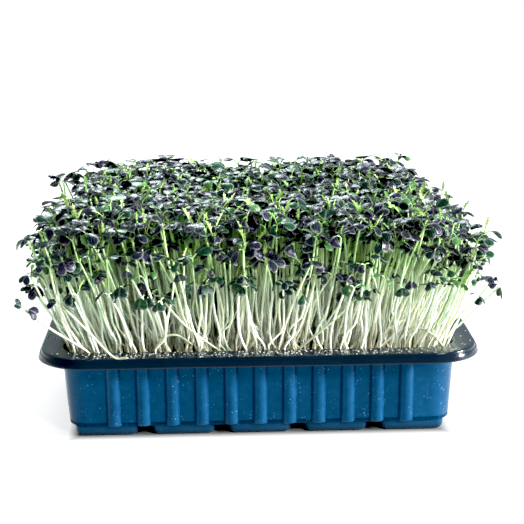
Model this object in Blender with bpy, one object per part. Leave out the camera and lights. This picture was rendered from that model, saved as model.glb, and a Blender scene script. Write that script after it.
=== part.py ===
"""Microgreens tray: a ribbed plastic tray, the growing medium that fills it, and clumps of sprouts.

Metres, +Z up. The origin is under the middle of the tray, on the surface that it stands on.
The tray is long along X and its front faces -Y.
"""

import math
import random

import bmesh
import bpy
from mathutils import Matrix, Vector
from mathutils.bvhtree import BVHTree

# Tray body, measured outside the wall just under the flange
BODY_WIDTH = 0.2700
BODY_DEPTH = 0.1714
BODY_CORNER = 0.0181
CORNER_STEPS = 5
TAPER = 0.063
SHEET = 0.0012
RIM_HEIGHT = 0.0616
BODY_BOTTOM = 0.0060
BOTTOM_ROUNDING = 0.0045
CORNER_CUT = 0.3

# Flange and its downturned lip
FLANGE_WIDTH = 0.0143
LIP_HEIGHT = 0.0066
LIP_FLARE = 0.0021
EDGE_ROUNDING = 0.0010

# Upright half-round ribs on the walls, hollow from inside
RIB_PITCH = 0.0200
RIBS_LONG_SIDE = 11
RIBS_SHORT_SIDE = 5
RIB_RADIUS = 0.0052
RIB_HEIGHT = 0.0040
RIB_LOW = 0.0082
RIB_SIDES = 12

# Feet that run across the bottom
FOOT_COUNT = 5
FOOT_PITCH = 0.0526
FOOT_WIDTH = 0.0434
FOOT_DEPTH = 0.1624
FOOT_ROUNDING = 0.0050
TROUGH_END = 0.0034

# Growing medium
GAP = 0.0004
MEDIUM_TOP = 0.0540
MEDIUM_EDGE_DROP = 0.0020
MEDIUM_EDGE_WIDTH = 0.0030

# Clumps of sprouts, each with a plug of roots in a hole in the medium
COLUMNS = 8
ROWS = 5
CLUMP_AREA_WIDTH = 0.2300
CLUMP_AREA_DEPTH = 0.1300
PLUG_RADIUS = 0.0100
PLUG_DEPTH = 0.0120
PLUG_SIDES = 6
ROOT_DEPTH = 0.0050
INNER_SPROUTS = 3
OUTER_SPROUTS = 4
CANOPY_HALF_WIDTH = 0.1500
CANOPY_HALF_DEPTH = 0.1030
CANOPY_LOW = 0.0960
CANOPY_HIGH = 0.1530
REACH_HALF_WIDTH = 0.1620
REACH_HALF_DEPTH = 0.1140
REACH_TOP = 0.1620

# One sprout
STEM_RADIUS = 0.0009
STEM_SIDES = 3
INNER_STEM_STEPS = 2
OUTER_STEM_STEPS = 3
LEAF_LENGTH = 0.0148
LEAF_THICKNESS = 0.0010
TRUE_LEAF_LENGTH = 0.0190
TRUE_LEAF_SHARE = 0.25
DROOP = 0.20
LEAN_CURVE = 0.8
CLEARANCE = 0.0005
TRIES = 160
SEED = 27
SMOOTH_ANGLE = math.radians(40)

# Ranges that the sprouts are drawn from: angles in radians, and shares of a length
FOOT_OUT = (0.30, 0.50)
FOOT_TURN = 0.25
AIM_OUT = 0.33
WANDER = 0.003
WANDER_MORE = 0.00006
SHRINK = 0.0022
BOW = 0.0025
TILT = 0.35
RISE = (-0.10, 0.80)
CUP = (0.05, 0.45)
LEAF_SIZES = (0.85, 1.20)
TRUE_LEAF_SIZES = (0.80, 1.15)
CURL = 0.35

# Half of a notched seed leaf: distance along the leaf and out from its rib, as shares of its length
NECK = (0.00, 0.13)
SHOULDER = (0.52, 0.50)
LOBE = (1.00, 0.30)
NOTCH = (0.80, 0.00)
# Half of a toothed true leaf, in the same way, from its base to its tip
TEETH = ((0.00, 0.035), (0.36, 0.17), (0.48, 0.09), (0.72, 0.15))


def clear_scene():
    for thing in list(bpy.data.objects):
        bpy.data.objects.remove(thing, do_unlink=True)


def plain_material(name, colour, roughness):
    material = bpy.data.materials.new(name)
    material.use_nodes = True
    shader = material.node_tree.nodes["Principled BSDF"]
    shader.inputs["Base Color"].default_value = (*colour, 1.0)
    shader.inputs["Roughness"].default_value = roughness
    shader.inputs["Metallic"].default_value = 0.0
    return material


def blue_plastic():
    return plain_material("blue_plastic", (0.010, 0.060, 0.140), 0.35)


def moist_medium():
    return plain_material("moist_medium", (0.090, 0.060, 0.035), 0.95)


def green_sprout():
    return plain_material("green_sprout", (0.120, 0.230, 0.050), 0.55)


def purple_sprout():
    return plain_material("purple_sprout", (0.075, 0.060, 0.085), 0.50)


def new_object(name, points, faces):
    mesh = bpy.data.meshes.new(name)
    mesh.from_pydata([tuple(point) for point in points], [], faces)
    shape = bmesh.new()
    shape.from_mesh(mesh)
    bmesh.ops.recalc_face_normals(shape, faces=shape.faces)
    shape.to_mesh(mesh)
    shape.free()
    thing = bpy.data.objects.new(name, mesh)
    bpy.context.scene.collection.objects.link(thing)
    return thing


def loft(name, rings):
    """A closed solid through rings of equally many points, capped at its first and last ring."""
    points = [point for ring in rings for point in ring]
    around = len(rings[0])
    faces = [list(range(around))[::-1]]
    faces.append([len(points) - around + index for index in range(around)])
    for level in range(len(rings) - 1):
        for index in range(around):
            low = level * around + index
            low_next = level * around + (index + 1) % around
            faces.append([low, low_next, low_next + around, low + around])
    return new_object(name, points, faces)


def evaluated_mesh(thing):
    graph = bpy.context.evaluated_depsgraph_get()
    return bpy.data.meshes.new_from_object(thing.evaluated_get(graph))


def apply_modifiers(thing):
    mesh = evaluated_mesh(thing)
    thing.modifiers.clear()
    thing.data = mesh


def combine(base, operation, others):
    """Joins others to base, or cuts them from it, and removes them."""
    group = bpy.data.collections.new(base.name + "_others")
    bpy.context.scene.collection.children.link(group)
    for other in others:
        bpy.context.scene.collection.objects.unlink(other)
        group.objects.link(other)
    change = base.modifiers.new("Combine", "BOOLEAN")
    change.operation = operation
    change.operand_type = "COLLECTION"
    change.collection = group
    apply_modifiers(base)
    for other in others:
        bpy.data.objects.remove(other, do_unlink=True)
    bpy.data.collections.remove(group)


def dress(thing, material):
    """Gives a piece its material, and smooth shading across its rounded stretches."""
    thing.data.materials.clear()
    thing.data.materials.append(material)
    thing.data.shade_smooth()
    thing.data.set_sharp_from_angle(angle=SMOOTH_ANGLE)


def wall_offset(z):
    """How far the wall's outer face is outside the body's top outline at this height."""
    return -TAPER * (RIM_HEIGHT - z)


def outline(offset, z):
    """A rounded rectangle this far outside the body's top outline, anticlockwise from above."""
    radius = BODY_CORNER + offset
    reach_x = BODY_WIDTH / 2 - BODY_CORNER
    reach_y = BODY_DEPTH / 2 - BODY_CORNER
    points = []
    for quarter, (side_x, side_y) in enumerate(((1, 1), (-1, 1), (-1, -1), (1, -1))):
        centre = Vector((side_x * reach_x, side_y * reach_y, z))
        for step in range(CORNER_STEPS + 1):
            angle = (quarter + step / CORNER_STEPS) * math.pi / 2
            points.append(centre + radius * Vector((math.cos(angle), math.sin(angle), 0)))
    return points


def outer_body():
    """The tray as a full block: walls, flange and lip outside."""
    low = BODY_BOTTOM
    high = RIM_HEIGHT
    turn = BOTTOM_ROUNDING
    edge = EDGE_ROUNDING
    lip = FLANGE_WIDTH + LIP_FLARE
    lip_low = high - LIP_HEIGHT
    profile = (
        (wall_offset(low) - turn, low),
        (wall_offset(low) - turn * CORNER_CUT, low + turn * CORNER_CUT),
        (wall_offset(low + turn), low + turn),
        (wall_offset(high - SHEET), high - SHEET),
        (FLANGE_WIDTH - SHEET, high - SHEET),
        (lip - SHEET, lip_low),
        (lip, lip_low),
        (FLANGE_WIDTH, high - edge),
        (FLANGE_WIDTH - edge, high),
    )
    return loft("tray", [outline(offset, z) for offset, z in profile])


def cavity():
    """The space inside the tray, with its mouth's edge broken."""
    floor = BODY_BOTTOM + SHEET
    turn = BOTTOM_ROUNDING
    edge = EDGE_ROUNDING
    high = RIM_HEIGHT
    profile = (
        (wall_offset(floor) - SHEET - turn, floor),
        (wall_offset(floor + turn) - SHEET, floor + turn),
        (wall_offset(high - edge) - SHEET, high - edge),
        (wall_offset(high) - SHEET + edge, high),
        (wall_offset(high) - SHEET + edge, high + 2 * edge),
    )
    return loft("cavity", [outline(offset, z) for offset, z in profile])


def rib_column(along, side, radius, low, high):
    """A leaning column that follows the wall. Side is the wall's outward direction."""
    half = BODY_WIDTH / 2 if side.x else BODY_DEPTH / 2
    across = Vector((-side.y, side.x, 0))
    turn = math.atan2(side.y, side.x) + math.pi / RIB_SIDES
    rings = []
    for z in (low, high):
        out = half + wall_offset(z) + RIB_HEIGHT - RIB_RADIUS
        centre = side * out + across * along + Vector((0, 0, z))
        rings.append(circle(centre, radius, RIB_SIDES, turn))
    return loft("rib", rings)


def rib_columns(radius, low, high):
    """One column for each rib, round all four walls."""
    columns = []
    for side in (Vector((0, -1, 0)), Vector((1, 0, 0)), Vector((0, 1, 0)), Vector((-1, 0, 0))):
        count = RIBS_SHORT_SIDE if side.x else RIBS_LONG_SIDE
        for index in range(count):
            along = (index - (count - 1) / 2) * RIB_PITCH
            columns.append(rib_column(along, side, radius, low, high))
    return columns


def foot_block(index, inset, end, top, rounding, segments):
    """One foot, or with an inset and shorter ends the trough inside it."""
    width = FOOT_WIDTH - 2 * inset
    depth = FOOT_DEPTH - 2 * end
    middle = (index - (FOOT_COUNT - 1) / 2) * FOOT_PITCH
    shape = bmesh.new()
    bmesh.ops.create_cube(shape, size=1.0)
    bmesh.ops.scale(shape, vec=(width, depth, top - inset), verts=shape.verts)
    bmesh.ops.translate(shape, vec=(middle, 0, (top + inset) / 2), verts=shape.verts)
    rounded = [edge for edge in shape.edges if min(v.co.z for v in edge.verts) < top - rounding]
    bmesh.ops.bevel(shape, geom=rounded, offset=rounding, segments=segments, affect="EDGES", profile=0.5)
    mesh = bpy.data.meshes.new("foot")
    shape.to_mesh(mesh)
    shape.free()
    block = bpy.data.objects.new("foot", mesh)
    bpy.context.scene.collection.objects.link(block)
    return block


def make_tray():
    """A thin shell: a block with ribs and feet, less its cavity and the hollows of both."""
    body = outer_body()
    above = BODY_BOTTOM + 2 * SHEET
    feet = [foot_block(index, 0.0, 0.0, above, FOOT_ROUNDING, 2) for index in range(FOOT_COUNT)]
    ribs = rib_columns(RIB_RADIUS, RIB_LOW, RIM_HEIGHT - SHEET / 2)
    combine(body, "UNION", feet + ribs)
    rounding = FOOT_ROUNDING - SHEET
    troughs = [
        foot_block(index, SHEET, TROUGH_END, above, rounding, 1) for index in range(FOOT_COUNT)
    ]
    hollows = rib_columns(RIB_RADIUS - SHEET, RIB_LOW + SHEET, RIM_HEIGHT - 3 * SHEET)
    combine(body, "DIFFERENCE", [cavity()] + troughs + hollows)
    dress(body, blue_plastic())
    return body


def clump_places():
    """Row, column and centre of each clump on the medium."""
    places = []
    for row in range(ROWS):
        for column in range(COLUMNS):
            x = (column / (COLUMNS - 1) - 0.5) * CLUMP_AREA_WIDTH
            y = (row / (ROWS - 1) - 0.5) * CLUMP_AREA_DEPTH
            places.append((row, column, Vector((x, y, 0))))
    return places


def circle(centre, radius, sides, turn):
    """Points round an upright axis through the centre."""
    angles = [turn + 2 * math.pi * index / sides for index in range(sides)]
    return [centre + radius * Vector((math.cos(angle), math.sin(angle), 0)) for angle in angles]


def plug(centre, radius, low, high):
    """The block of matted roots under one clump."""
    places = [Vector((centre.x, centre.y, z)) for z in (low, high)]
    return loft("plug", [circle(place, radius, PLUG_SIDES, 0) for place in places])


def make_medium():
    """A slab that rests on the tray's floor and fills its feet, with a hole for each clump."""
    floor = BODY_BOTTOM + SHEET + GAP
    turn = BOTTOM_ROUNDING
    inset = SHEET + GAP
    shoulder = MEDIUM_TOP - MEDIUM_EDGE_DROP
    profile = (
        (wall_offset(floor) - inset - turn, floor),
        (wall_offset(floor + turn) - inset, floor + turn),
        (wall_offset(shoulder) - inset, shoulder),
        (wall_offset(MEDIUM_TOP) - inset - MEDIUM_EDGE_WIDTH, MEDIUM_TOP),
    )
    slab = loft("growing_medium", [outline(offset, z) for offset, z in profile])
    fill = SHEET + GAP
    rounding = FOOT_ROUNDING - SHEET
    fillings = [
        foot_block(index, fill, TROUGH_END + GAP, floor + GAP, rounding, 1)
        for index in range(FOOT_COUNT)
    ]
    combine(slab, "UNION", fillings)
    low = MEDIUM_TOP - PLUG_DEPTH - GAP
    holes = [
        plug(centre, PLUG_RADIUS + GAP, low, MEDIUM_TOP + GAP) for _, _, centre in clump_places()
    ]
    combine(slab, "DIFFERENCE", holes)
    dress(slab, moist_medium())


def stem_shape(route, radius):
    """Points and faces of a thin closed tube along a route."""
    points = []
    for place in route:
        points += circle(place, radius, STEM_SIDES, 0)
    faces = [[2, 1, 0]]
    for level in range(len(route) - 1):
        for index in range(STEM_SIDES):
            low = level * STEM_SIDES + index
            low_next = level * STEM_SIDES + (index + 1) % STEM_SIDES
            faces.append([low, low_next, low_next + STEM_SIDES])
            faces.append([low, low_next + STEM_SIDES, low + STEM_SIDES])
    last = len(points) - STEM_SIDES
    faces.append([last, last + 1, last + 2])
    return points, faces


def blade_shape(upper, triangles, border, down, thickness):
    """A thin blade round an upper face's points, split into triangles alike on both faces."""
    count = len(upper)
    points = [point - down * thickness / 2 for point in upper]
    points += [point + down * thickness / 2 for point in upper]
    faces = [list(corners) for corners in triangles]
    faces += [[corner + count for corner in reversed(corners)] for corners in triangles]
    for first, second in zip(border, border[1:] + border[:1]):
        faces.append([second, first, first + count])
        faces.append([second, first + count, second + count])
    return points, faces


def seed_leaf_pair(frame, length, rises, cup, grow):
    """Two notched seed leaves across the top of a stem, as one blade folded along its rib."""
    size = length * (1 + grow * 2 / LEAF_LENGTH)
    half = [NECK, SHOULDER, LOBE, NOTCH]
    mirrored = [(LOBE[0], -LOBE[1]), (SHOULDER[0], -SHOULDER[1])]
    upper = []
    for side, rise in ((1, rises[0]), (-1, rises[1])):
        for along, out in half + mirrored:
            lift = math.sin(rise) * along + cup * (abs(out) - NECK[1])
            lift -= DROOP * along * along
            run = math.cos(rise) * along
            upper.append(frame @ (Vector((side * run, side * out, lift)) * size))
    one = [(0, 1, 3), (1, 2, 3), (0, 3, 6), (3, 4, 5), (3, 5, 6)]
    other = [(6, 7, 9), (7, 8, 9), (6, 9, 0), (9, 10, 11), (9, 11, 0)]
    border = list(range(12))
    down = frame.to_3x3() @ Vector((0, 0, -1))
    triangles = [tuple(reversed(corners)) for corners in one + other]
    return blade_shape(upper, triangles, border[::-1], down, LEAF_THICKNESS + 2 * grow)


def true_leaf(frame, length, curl, grow):
    """One upright toothed leaf, bent back towards its tip."""
    size = length * (1 + grow * 2 / LEAF_LENGTH)
    left = []
    right = []
    for along, out in TEETH:
        back = curl * along * along
        left.append(frame @ (Vector((back, out, along)) * size))
        right.append(frame @ (Vector((back, -out, along)) * size))
    tip = frame @ (Vector((curl, 0, 1)) * size)
    count = len(TEETH)
    upper = left + [tip] + right[::-1]
    triangles = [(count - 1, count, count + 1)]
    for level in range(count - 1):
        mirrored = 2 * count - level
        triangles.append((level, level + 1, mirrored))
        triangles.append((level + 1, mirrored - 1, mirrored))
    border = list(range(len(upper)))
    down = frame.to_3x3() @ Vector((-1, 0, 0))
    triangles = [tuple(reversed(corners)) for corners in triangles]
    return blade_shape(upper, triangles, border[::-1], down, LEAF_THICKNESS + 2 * grow)


def stem_route(foot, top, bow, steps):
    """A curve that leaves the medium at its foot and leans out, with a straight root below it."""
    route = []
    for step in range(1, steps + 1):
        share = step / steps
        place = foot.lerp(top, share ** LEAN_CURVE) + bow * math.sin(math.pi * share)
        place.z = foot.z + (top.z - foot.z) * share
        route.append(place)
    first = route[0] - foot
    return [foot - first * ROOT_DEPTH / first.z] + route


def sprout_shapes(draw, grow):
    """The stem and leaves of one sprout, each as points and faces, grown outwards by a clearance."""
    route = stem_route(draw["foot"], draw["top"], draw["bow"], draw["steps"])
    radius = STEM_RADIUS + grow
    shapes = [stem_shape(route, radius)]
    lean = Matrix.Rotation(draw["tilt"], 4, "Y")
    frame = Matrix.Translation(draw["top"]) @ Matrix.Rotation(draw["heading"], 4, "Z") @ lean
    shapes.append(seed_leaf_pair(frame, draw["length"], draw["rises"], draw["cup"], grow))
    if draw["true_leaf"]:
        upright = frame @ Matrix.Rotation(math.pi / 2, 4, "Z")
        shapes.append(true_leaf(upright, draw["true_length"], draw["curl"], grow))
    return shapes


def draw_sprout(dice, foot, aim, steps, attempt):
    """One sprout at random, that wanders further and shrinks a little with each attempt."""
    wander = WANDER + WANDER_MORE * attempt
    shrink = 1 - SHRINK * attempt
    top = aim + Vector((dice.gauss(0, wander), dice.gauss(0, wander), 0))
    top.z = dice.uniform(CANOPY_LOW, CANOPY_HIGH)
    return {
        "foot": foot,
        "top": top,
        "steps": steps,
        "bow": Vector((dice.gauss(0, BOW), dice.gauss(0, BOW), 0)),
        "heading": dice.uniform(0, math.pi),
        "tilt": dice.uniform(-TILT, TILT),
        "rises": (dice.uniform(*RISE), dice.uniform(*RISE)),
        "cup": dice.uniform(*CUP),
        "length": LEAF_LENGTH * dice.uniform(*LEAF_SIZES) * shrink,
        "true_leaf": dice.random() < TRUE_LEAF_SHARE,
        "true_length": TRUE_LEAF_LENGTH * dice.uniform(*TRUE_LEAF_SIZES) * shrink,
        "curl": dice.uniform(-CURL, CURL),
    }


def tree_of(shapes):
    """A search tree over the triangles of these shapes."""
    points = []
    faces = []
    for shape_points, shape_faces in shapes:
        start = len(points)
        points += shape_points
        faces += [[start + corner for corner in face] for face in shape_faces]
    return BVHTree.FromPolygons(points, faces)


def within_reach(shapes):
    for points, _ in shapes:
        for point in points:
            if abs(point.x) > REACH_HALF_WIDTH or abs(point.y) > REACH_HALF_DEPTH:
                return False
            if point.z > REACH_TOP:
                return False
    return True


def clump_feet(dice, centre, count):
    """Where the stems of one clump leave its plug."""
    turn = dice.uniform(0, 2 * math.pi)
    feet = []
    for index in range(count):
        angle = turn + 2 * math.pi * index / count + dice.uniform(-FOOT_TURN, FOOT_TURN)
        out = PLUG_RADIUS * dice.uniform(*FOOT_OUT)
        foot = centre + out * Vector((math.cos(angle), math.sin(angle), 0))
        foot.z = MEDIUM_TOP
        feet.append((foot, angle))
    return feet


def grow_sprouts(dice, centre, count, steps, taken):
    """Sprouts for one clump that stay clear of all that is there already."""
    spread_x = 2 * CANOPY_HALF_WIDTH / COLUMNS
    spread_y = 2 * CANOPY_HALF_DEPTH / ROWS
    middle = Vector((
        centre.x * (CANOPY_HALF_WIDTH - spread_x / 2) / (CLUMP_AREA_WIDTH / 2),
        centre.y * (CANOPY_HALF_DEPTH - spread_y / 2) / (CLUMP_AREA_DEPTH / 2),
        0,
    ))
    grown = []
    for foot, angle in clump_feet(dice, centre, count):
        aim = middle + AIM_OUT * Vector((spread_x * math.cos(angle), spread_y * math.sin(angle), 0))
        others = tree_of(taken + grown)
        for attempt in range(TRIES):
            draw = draw_sprout(dice, foot, aim, steps, attempt)
            wide = sprout_shapes(draw, CLEARANCE)
            if within_reach(wide) and not tree_of(wide).overlap(others):
                grown += sprout_shapes(draw, 0.0)
                break
    return grown


def make_clump(row, column, centre, shapes, material):
    """One node: the plug of roots with its stems and leaves joined to it."""
    base = plug(centre, PLUG_RADIUS, MEDIUM_TOP - PLUG_DEPTH, MEDIUM_TOP)
    base.name = f"sprouts_{row + 1}_{column + 1}"
    parts = [new_object("sprout_piece", points, faces) for points, faces in shapes]
    combine(base, "UNION", parts)
    dress(base, material)


def shape_of(thing):
    """The points and faces of an object."""
    points = [vertex.co.copy() for vertex in thing.data.vertices]
    faces = [list(face.vertices) for face in thing.data.polygons]
    return points, faces


def make_sprouts(tray):
    dice = random.Random(SEED)
    green = green_sprout()
    purple = purple_sprout()
    taken = [shape_of(tray)]
    for row, column, centre in clump_places():
        outer = row in (0, ROWS - 1) or column in (0, COLUMNS - 1)
        count = OUTER_SPROUTS if outer else INNER_SPROUTS
        steps = OUTER_STEM_STEPS if outer else INNER_STEM_STEPS
        grown = grow_sprouts(dice, centre, count, steps, taken)
        taken += grown
        material = purple if (row + column) % 2 else green
        make_clump(row, column, centre, grown, material)


def main():
    clear_scene()
    tray = make_tray()
    make_medium()
    make_sprouts(tray)


main()
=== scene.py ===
"""Looks of the microgreens tray: a ribbed plastic tray, its growing medium and a dense stand of sprouts.

Metres, +Z up. The tray is long along X, and its front faces -Y.
"""

import math
from collections import namedtuple

import bpy
import numpy as np
from mathutils import Matrix, Vector


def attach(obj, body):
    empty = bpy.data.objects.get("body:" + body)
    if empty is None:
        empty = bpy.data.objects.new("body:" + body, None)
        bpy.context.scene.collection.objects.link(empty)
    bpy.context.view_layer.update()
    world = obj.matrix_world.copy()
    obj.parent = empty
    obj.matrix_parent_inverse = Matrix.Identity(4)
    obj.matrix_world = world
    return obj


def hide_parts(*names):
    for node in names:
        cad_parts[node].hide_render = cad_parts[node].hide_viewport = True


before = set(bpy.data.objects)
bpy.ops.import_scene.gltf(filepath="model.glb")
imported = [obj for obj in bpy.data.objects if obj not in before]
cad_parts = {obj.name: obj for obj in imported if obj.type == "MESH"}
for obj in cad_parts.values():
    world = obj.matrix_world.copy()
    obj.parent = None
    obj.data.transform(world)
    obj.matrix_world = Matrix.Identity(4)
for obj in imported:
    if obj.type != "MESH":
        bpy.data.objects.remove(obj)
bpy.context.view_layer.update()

SEED = 41
BODY = "root"

# Tray body, measured outside the wall just under the flange
BODY_WIDTH = 0.27
BODY_DEPTH = 0.1714
BODY_HALF = np.array((BODY_WIDTH, BODY_DEPTH)) / 2
BODY_CORNER = 0.0181
CORNER_STEPS = 12
TAPER = 0.063
SHEET = 0.0012
RIM_HEIGHT = 0.0616
BODY_BOTTOM = 0.006
BOTTOM_ROUNDING = 0.0045

# Rings of the shell: offsets on the bottom, offsets where the bottom and the wall end, and heights
BOTTOM_OFFSETS = (-0.06, -0.03, -0.008)
SHRUNK_FROM = -0.006
WALL_EDGE = 0.0009
OUTER_HEIGHTS = np.linspace(0.014, 0.056, 7)
INNER_HEIGHTS = (0.059, 0.0585, 0.058, 0.0572, 0.0565, 0.05, 0.03, 0.012, 0.0105, 0.0098)

# Flange and its downturned lip
FLANGE_WIDTH = 0.0143
LIP_HEIGHT = 0.0066
LIP_FLARE = 0.0021
LIP_STEP = ((0.001, 0.0029), (0.0011, 0.0026), (0.0017, 0.0024))
LIP_WAVE = 0.00012
EDGE_ROUNDING = 0.001
EDGE_STEPS = 4

# Upright half-round ribs on the walls, hollow from inside
RIB_PITCH = 0.02
RIBS_LONG_SIDE = 11
RIBS_SHORT_SIDE = 5
RIB_RADIUS = 0.0052
RIB_HEIGHT = 0.004
RIB_LOW = 0.008
RIB_END = 0.0016
RIB_STEPS = 14
RIB_TOP_INSIDE = 0.058
PANEL_STEPS = 3

# Feet that run across the bottom
FOOT_COUNT = 5
FOOT_PITCH = 0.0526
FOOT_WIDTH = 0.0434
FOOT_DEPTH = 0.1624
FOOT_ROUNDING = 0.005
FOOT_CORNER = 0.005
FOOT_TOP = ((-0.003, 0.0069), (-0.0006, 0.008), (0.0, 0.0074))
FOOT_END = 0.0036

# Growing medium
GAP = 0.0004
MEDIUM_TOP = 0.054
MEDIUM_LOW = BODY_BOTTOM + SHEET + GAP
MEDIUM_RINGS = 40
CRUMB_HEIGHT = 0.0011
CRUMB_SIZE = 0.0032

# Where sprouts leave the medium, this far from its middle, and the clumps that the CAD names them by
SPROUT_SPACING = 0.005
ROW_SPACING = SPROUT_SPACING * 0.94
FOOT_JITTER = 0.0016
FEET_X = 0.1275
FEET_Y = 0.0785
COLUMNS = 8
ROWS = 5
CLUMP_AREA = (0.23, 0.13)

# Heights of the stand. Edge, start and deep are shares of the distance from the middle to the edge
STAND_HEIGHT = 0.145
STAND_UNEVEN = 0.005
STAND_LOWEST = 0.096
STAND_HIGHEST = 0.1568
BACK_RISE = 0.01
CORNER_DROP_LEFT = 0.01
CORNER_DROP_RIGHT = 0.019
CORNER_START = 0.62
CORNER_DROP_ABOVE = 0.125
LOW_SHARE = 0.15
LOW_HEIGHTS = (0.104, 0.132)
FRINGE_EDGE = 0.84
FRINGE_DEEP = 0.9
FRINGE_HEIGHTS = (0.1, 0.151)
STRAY_EDGE = 0.93
STRAY_DEEP = 0.2
STRAY_SHARE = 0.2
STRAY_HEIGHTS = (0.096, 0.114)
STRAY_REACH = (0.004, 0.011)
TOP_HALF = (0.1515, 0.104)

# Stems that end lower than this and lean out past this distance are duller
OUTER_TOP = 0.148
OUTER_LOW = 0.125
OUTER_DULLNESS = 0.08

# Tops of the tallest young sprigs, near the front as photographed
TALL_SPRIGS = (
    (-0.131, -0.024, 0.14),
    (-0.124, -0.052, 0.139),
    (-0.103, -0.092, 0.136),
    (-0.043, -0.086, 0.144),
    (-0.03, -0.092, 0.141),
    (-0.01, -0.094, 0.138),
    (0.017, -0.076, 0.145),
    (0.05, -0.066, 0.147),
    (0.074, -0.09, 0.139),
    (0.091, -0.088, 0.136),
    (0.118, -0.072, 0.132),
    (-0.075, -0.08, 0.141),
)
TALL_HEADINGS = (0.3, 2.6, 4.4)

# Sprouts that lie over the rim: four points each, from the root to the top
FALLEN = (
    ((-0.113, -0.0815, 0.058), (-0.119, -0.088, 0.066), (-0.138, -0.097, 0.082), (-0.154, -0.102, 0.097)),
    ((-0.089, -0.0995, 0.0626), (-0.098, -0.0985, 0.0628), (-0.113, -0.097, 0.079), (-0.131, -0.098, 0.099)),
    ((0.1, -0.078, 0.07), (0.109, -0.08, 0.0735), (0.117, -0.083, 0.07), (0.124, -0.089, 0.0632)),
    ((-0.074, -0.079, 0.056), (-0.066, -0.0835, 0.07), (-0.056, -0.086, 0.0735), (-0.046, -0.083, 0.066)),
    ((0.022, -0.079, 0.056), (0.035, -0.085, 0.069), (0.05, -0.089, 0.083), (0.066, -0.094, 0.101)),
    ((-0.022, -0.079, 0.056), (-0.036, -0.085, 0.068), (-0.051, -0.089, 0.082), (-0.066, -0.093, 0.102)),
)
FALLEN_RADIUS = 0.00095
FALLEN_RINGS = 12
FALLEN_LEAFY = 0.09
FALLEN_TILT = (0.0, -0.75)

# Stems
STEM_SPREAD = (1.165, 1.27)
STEM_WANDER = 0.0035
FRONT_WANDER = 0.008
FRONT_DEEP = -0.7
KINK = 0.0022
STRONG_KINK = 0.006
STRONG_KINK_SHARE = 0.32
SIDE_ZONE = 0.02
BOW = 0.0024
SWAY = 0.001
KINK_LIMIT = 1.6
KINK_FLATNESS = 0.6
KINK_END = 0.4
STEM_RINGS = 13
STEM_SIDES = 4
STEM_RADIUS_LOW = 0.00092
STEM_RADIUS_HIGH = 0.00066
STEM_UNEVEN = (0.85, 1.15)
STEM_TO_WALL = 0.0006
ROOT_DEPTH = 0.003
GREEN_HEIGHT = 0.15

# Seed leaves: a rounded, notched blade, as shares of its length from the middle line to its side
SEED_LEAF_LENGTH = 0.0093
SEED_LEAF_REACH = (
    (0.0, 0.0, 0.02, 0.06),
    (0.17, 0.19, 0.21, 0.24),
    (0.36, 0.42, 0.47, 0.48),
    (0.55, 0.67, 0.73, 0.71),
    (0.74, 0.93, 1.0, 0.9),
)
SEED_LEAF_SPAN = (
    (0.0, 0.05, 0.1, 0.15),
    (0.0, 0.18, 0.34, 0.46),
    (0.0, 0.22, 0.43, 0.62),
    (0.0, 0.23, 0.44, 0.65),
    (0.0, 0.19, 0.39, 0.56),
)
SEED_LEAF_ACROSS = 6
SEED_LEAF = dict(size=(0.78, 1.24), bend=(0.3, 1.9), dome=(0.0, 1.3), fold=(-0.25, 0.35), ripple=(0.0, 0.05))
LOW_LEAF_TOP = 0.125
LOW_LEAF_SIZE = 0.78
BLADE_THICKNESS = 0.00032
PETIOLE_RADIUS = 0.00038
PETIOLE_LENGTHS = (0.0026, 0.0058)
PETIOLE_RISE = (0.9, 1.35)
PETIOLE_RINGS = 4

# True leaves. Those in pairs are ranges, and the slot is that of the material
SPRIG_LENGTH = 0.015
SPRIG_SHARE = 0.42
CURLED_SHARE = 0.5
CURLED_LOWEST = 0.128
SPRIG = dict(
    grid=(12, 2), half_width=0.12, stalk=0.3, teeth=0.55, tilt=0.25, slot=2, size=(0.6, 1.1),
    rise=(1.05, 1.5), bend=(0.1, 1.5), dome=(-0.4, 0.4), fold=(0.2, 0.7), ripple=(0.0, 0.08),
)
TALL_SPRIG = dict(
    SPRIG, half_width=0.11, stalk=0.34, teeth=0.58, tilt=0.12, size=(0.95, 1.35),
    rise=(1.25, 1.5), bend=(-0.2, 0.6), dome=(-0.2, 0.2), fold=(0.3, 0.7),
)
CURLED = dict(
    SPRIG, grid=(8, 4), half_width=0.36, stalk=0.22, teeth=0.28, slot=1, size=(0.65, 1.0),
    rise=(0.85, 1.35), bend=(1.2, 2.8), dome=(0.3, 1.4), fold=(-0.4, 0.1),
)

# Water drops on the flange
DROPS = 420
DROP_SIDES = 8
DROP_RINGS = 3
DROP_RADII = (0.00024, 0.00085)
DROP_FLATNESS = (0.45, 0.7)
DROP_STRETCH = (0.85, 1.25)

# Seed hulls on the medium
HULLS = 180
HULL_SIDES = 8
HULL_LEVELS = (-75, -45, -15, 15, 45, 75)
HULL_RADII = (0.0007, 0.0011)
HULL_STRETCH = 1.25
HULL_FRONT_SHARE = 0.4

# Space that the stand may fill
REACH = (0.1645, 0.1145, 0.163)
REACH_SOFTNESS = 0.002

# Studio: each light's place, size, power and colour, and the camera
LIGHTS = {
    "key_right": ((4.0, -0.98, 0.98), 0.82, 525.0, (0.98, 1.0, 0.98)),
    "front_top": ((0.66, -1.04, 0.86), 0.36, 17.0, (0.98, 1.0, 0.98)),
    "back_top": ((-0.15, 0.8, 1.05), 0.6, 22.0, (0.86, 0.98, 1.0)),
}
LIGHT_TARGET = (0.0, 0.0, 0.09)
SKY_TONES = ((0.1, (0.8, 1.0, 0.98)), (0.5, (0.78, 0.94, 1.0)), (0.9, (0.94, 0.98, 0.97)))
FLOOR_HALF = 4.0
CAMERA_PLACE = (-0.030645, -0.989257, 0.349352)
CAMERA_DEGREES = (2.057, 14.046, -0.439)
SENSOR = 36.0
FOCAL_SHARE = 1400 / 524


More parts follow.
